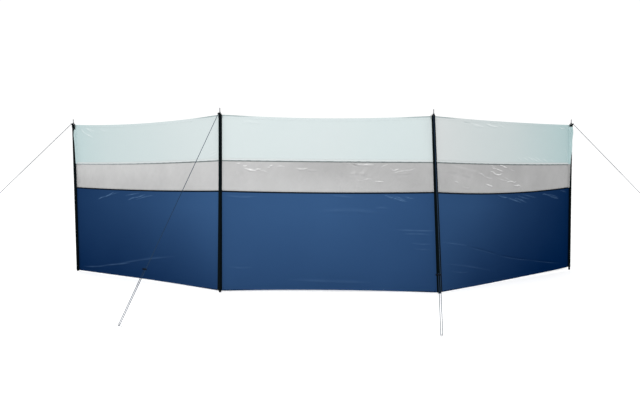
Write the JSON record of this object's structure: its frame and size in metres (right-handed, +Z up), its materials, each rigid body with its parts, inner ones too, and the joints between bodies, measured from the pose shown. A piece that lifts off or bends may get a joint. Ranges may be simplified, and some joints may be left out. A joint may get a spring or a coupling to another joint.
{
  "type": "beach windbreak",
  "caption": "Low screen of cloth with a clear window band, on upright poles in sleeves, turned back at both ends and held by guys and pegs.",
  "frame": {"origin": "middle of the flat foot of the left inner pole, on the ground", "axes": "+X along the middle bay to the right, +Y away from the side the guys of the inner poles run to, +Z up"},
  "size_m": [7.262, 2.0434, 1.5994],
  "materials": {
    "pole_steel": "grey powder coat",
    "black_rubber": "matte moulded",
    "pin_steel": "bare satin",
    "black_webbing": "matte woven",
    "grey_cord": "braided",
    "runner_plastic": "moulded",
    "peg_steel": "galvanised",
    "mint_cloth": "coated plain weave",
    "mint_hem": "folded and stitched",
    "window_film": "milky clear film",
    "navy_cloth": "coated plain weave",
    "navy_hem": "folded and stitched"
  },
  "bodies": {
    "root": {"left_end_pole": "pole_steel", "left_end_foot": "black_rubber", "left_end_pin": "pin_steel", "left_end_sleeve": "black_webbing", "left_end_loop": "black_webbing", "left_end_guy": "grey_cord", "left_end_runner": "runner_plastic", "left_end_peg": "peg_steel", "left_inner_pole": "pole_steel", "left_inner_foot": "black_rubber", "left_inner_pin": "pin_steel", "left_inner_sleeve": "black_webbing", "left_inner_loop": "black_webbing", "left_inner_guy": "grey_cord", "left_inner_runner": "runner_plastic", "left_inner_peg": "peg_steel", "right_inner_pole": "pole_steel", "right_inner_foot": "black_rubber", "right_inner_pin": "pin_steel", "right_inner_sleeve": "black_webbing", "right_inner_loop": "black_webbing", "right_inner_guy": "grey_cord", "right_inner_runner": "runner_plastic", "right_inner_peg": "peg_steel", "right_end_pole": "pole_steel", "right_end_foot": "black_rubber", "right_end_pin": "pin_steel", "right_end_sleeve": "black_webbing", "right_end_loop": "black_webbing", "right_end_guy": "grey_cord", "right_end_runner": "runner_plastic", "right_end_peg": "peg_steel", "left_upper_panel": "mint_cloth", "left_window": "window_film", "left_lower_panel": "navy_cloth", "left_top_hem": "mint_hem", "left_bottom_hem": "navy_hem", "middle_upper_panel": "mint_cloth", "middle_window": "window_film", "middle_lower_panel": "navy_cloth", "middle_top_hem": "mint_hem", "middle_bottom_hem": "navy_hem", "right_upper_panel": "mint_cloth", "right_window": "window_film", "right_lower_panel": "navy_cloth", "right_top_hem": "mint_hem", "right_bottom_hem": "navy_hem"}
  },
  "joints": []
}
